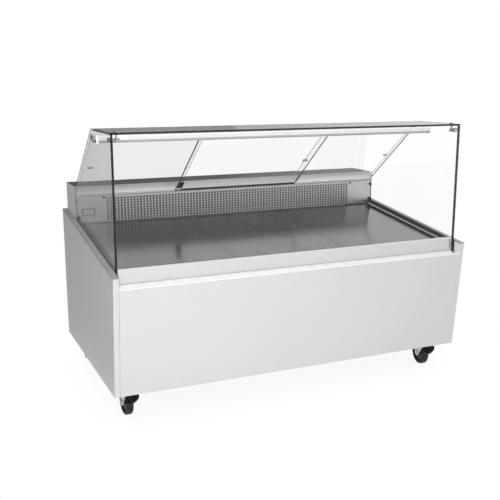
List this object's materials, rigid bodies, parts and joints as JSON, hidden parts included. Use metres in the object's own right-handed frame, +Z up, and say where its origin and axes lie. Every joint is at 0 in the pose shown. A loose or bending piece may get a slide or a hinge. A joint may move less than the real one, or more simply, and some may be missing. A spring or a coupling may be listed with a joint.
{
  "type": "refrigerated fish display case",
  "caption": "Refrigerated serve-over display case on castors: glass canopy, sloping cold well, sliding glass rear doors and a service-side evaporator housing.",
  "frame": {"origin": "centre of the case's outline on the floor, under the castors", "axes": "+X along the case to the right as the customer sees it, +Y towards the service side, +Z up; the customer front faces -Y"},
  "size_m": [1.8, 1.0549, 1.27],
  "materials": {
    "side_grey": "satin",
    "stainless": "brushed",
    "polished_steel": "polished",
    "white_sheet": "satin",
    "frame_steel": "matte",
    "foam": "matte",
    "pipe_plastic": "matte",
    "fin_aluminium": "satin",
    "fan_plastic": "matte",
    "clear_glass": "clear",
    "black_rubber": "matte",
    "lamp_white": "satin",
    "lamp_opal": "opal",
    "bracket_grey": "matte",
    "compressor_black": "satin",
    "zinc": "zinc plated",
    "tread": "matte",
    "pedal_black": "matte"
  },
  "bodies": {
    "case": {"base_frame": "frame_steel", "base_plate": "frame_steel", "castor_plates": "zinc", "compressor": "compressor_black", "condenser_coil": "fin_aluminium", "condenser_shroud": "frame_steel", "control_panel": "pipe_plastic", "display_plates": "stainless", "drain_outlet": "stainless", "drain_pipe": "pipe_plastic", "evaporator_coil": "fin_aluminium", "evaporator_fan_plate": "frame_steel", "evaporator_housing": "stainless", "front_apron": "white_sheet", "front_glass": "clear_glass", "front_glass_shoes": "black_rubber", "front_panel": "white_sheet", "glass_connectors": "polished_steel", "insulation_tub": "foam", "lamp_diffuser": "lamp_opal", "lamp_end_caps": "lamp_white", "lamp_profile": "lamp_white", "left_side_glass": "clear_glass", "left_side_panel": "side_grey", "lower_door_track": "fin_aluminium", "perforated_air_panel": "stainless", "plate_rails": "stainless", "rear_panel": "white_sheet", "right_side_glass": "clear_glass", "right_side_panel": "side_grey", "side_gaskets": "black_rubber", "side_ledges": "stainless", "top_glass": "clear_glass", "top_trims": "stainless", "track_brackets": "bracket_grey", "tub_beams": "frame_steel", "upper_door_track": "fin_aluminium", "well_tank": "stainless"},
    "left_door": {"left_door_glass": "clear_glass", "left_door_fittings": "fin_aluminium"},
    "middle_door": {"middle_door_glass": "clear_glass", "middle_door_fittings": "fin_aluminium"},
    "right_door": {"right_door_glass": "clear_glass", "right_door_fittings": "fin_aluminium"},
    "front_left_fork": {"front_left_castor_fork": "zinc"},
    "front_left_wheel": {"front_left_castor_wheel": "tread"},
    "front_left_pedal": {"front_left_brake_pedal": "pedal_black"},
    "front_right_fork": {"front_right_castor_fork": "zinc"},
    "front_right_wheel": {"front_right_castor_wheel": "tread"},
    "front_right_pedal": {"front_right_brake_pedal": "pedal_black"},
    "rear_left_fork": {"rear_left_castor_fork": "zinc"},
    "rear_left_wheel": {"rear_left_castor_wheel": "tread"},
    "rear_right_fork": {"rear_right_castor_fork": "zinc"},
    "rear_right_wheel": {"rear_right_castor_wheel": "tread"},
    "left_evaporator_fan": {"evaporator_fan_left": "fan_plastic"},
    "right_evaporator_fan": {"evaporator_fan_right": "fan_plastic"},
    "condenser_fan": {"condenser_fan": "fan_plastic"},
    "power_switch": {"power_switch": "fan_plastic"},
    "lamp_switch": {"lamp_switch": "fan_plastic"}
  },
  "joints": [
    {"name": "left_door_slide", "type": "slide", "parent": "case", "child": "left_door", "axis": [1, 0, 0], "range_m": [0, 0.5]},
    {"name": "middle_door_slide", "type": "slide", "parent": "case", "child": "middle_door", "axis": [1, 0, 0], "range_m": [-0.5, 0.5]},
    {"name": "right_door_slide", "type": "slide", "parent": "case", "child": "right_door", "axis": [1, 0, 0], "range_m": [-0.5, 0]},
    {"name": "front_left_swivel", "type": "hinge", "parent": "case", "child": "front_left_fork", "pos_m": [-0.819, -0.4015, 0.14], "axis": [0, 0, 1], "continuous": true},
    {"name": "front_left_roll", "type": "hinge", "parent": "front_left_fork", "child": "front_left_wheel", "pos_m": [-0.82026, -0.36552, 0.0625], "axis": [0.9994, 0.0349, 0], "continuous": true},
    {"name": "front_left_brake", "type": "hinge", "parent": "front_left_fork", "child": "front_left_pedal", "pos_m": [-0.81795, -0.43148, 0.1257], "axis": [0.9994, 0.0349, 0], "range_deg": [-12, 0]},
    {"name": "front_right_swivel", "type": "hinge", "parent": "case", "child": "front_right_fork", "pos_m": [0.78, -0.4015, 0.14], "axis": [0, 0, 1], "continuous": true},
    {"name": "front_right_roll", "type": "hinge", "parent": "front_right_fork", "child": "front_right_wheel", "pos_m": [0.78439, -0.36577, 0.0625], "axis": [0.9925, -0.1219, 0], "continuous": true},
    {"name": "front_right_brake", "type": "hinge", "parent": "front_right_fork", "child": "front_right_pedal", "pos_m": [0.77634, -0.43128, 0.1257], "axis": [0.9925, -0.1219, 0], "range_deg": [-12, 0]},
    {"name": "rear_left_swivel", "type": "hinge", "parent": "case", "child": "rear_left_fork", "pos_m": [-0.819, 0.4015, 0.14], "axis": [0, 0, 1], "continuous": true},
    {"name": "rear_left_roll", "type": "hinge", "parent": "rear_left_fork", "child": "rear_left_wheel", "pos_m": [-0.819, 0.4375, 0.0625], "axis": [1, 0, 0], "continuous": true},
    {"name": "rear_right_swivel", "type": "hinge", "parent": "case", "child": "rear_right_fork", "pos_m": [0.78, 0.4015, 0.14], "axis": [0, 0, 1], "continuous": true},
    {"name": "rear_right_roll", "type": "hinge", "parent": "rear_right_fork", "child": "rear_right_wheel", "pos_m": [0.78, 0.4375, 0.0625], "axis": [1, 0, 0], "continuous": true},
    {"name": "left_evaporator_fan_spin", "type": "hinge", "parent": "case", "child": "left_evaporator_fan", "pos_m": [-0.38, 0.406, 0.85656], "axis": [0, 1, 0], "continuous": true},
    {"name": "right_evaporator_fan_spin", "type": "hinge", "parent": "case", "child": "right_evaporator_fan", "pos_m": [0.38, 0.406, 0.85656], "axis": [0, 1, 0], "continuous": true},
    {"name": "condenser_fan_spin", "type": "hinge", "parent": "case", "child": "condenser_fan", "pos_m": [0.43, 0.4475, 0.3425], "axis": [0, 1, 0], "continuous": true},
    {"name": "power_switch_rock", "type": "hinge", "parent": "case", "child": "power_switch", "pos_m": [-0.49, 0.518, 0.58431], "axis": [1, 0, 0], "range_deg": [0, 14]},
    {"name": "lamp_switch_rock", "type": "hinge", "parent": "case", "child": "lamp_switch", "pos_m": [-0.53, 0.518, 0.58431], "axis": [1, 0, 0], "range_deg": [0, 14]}
  ]
}
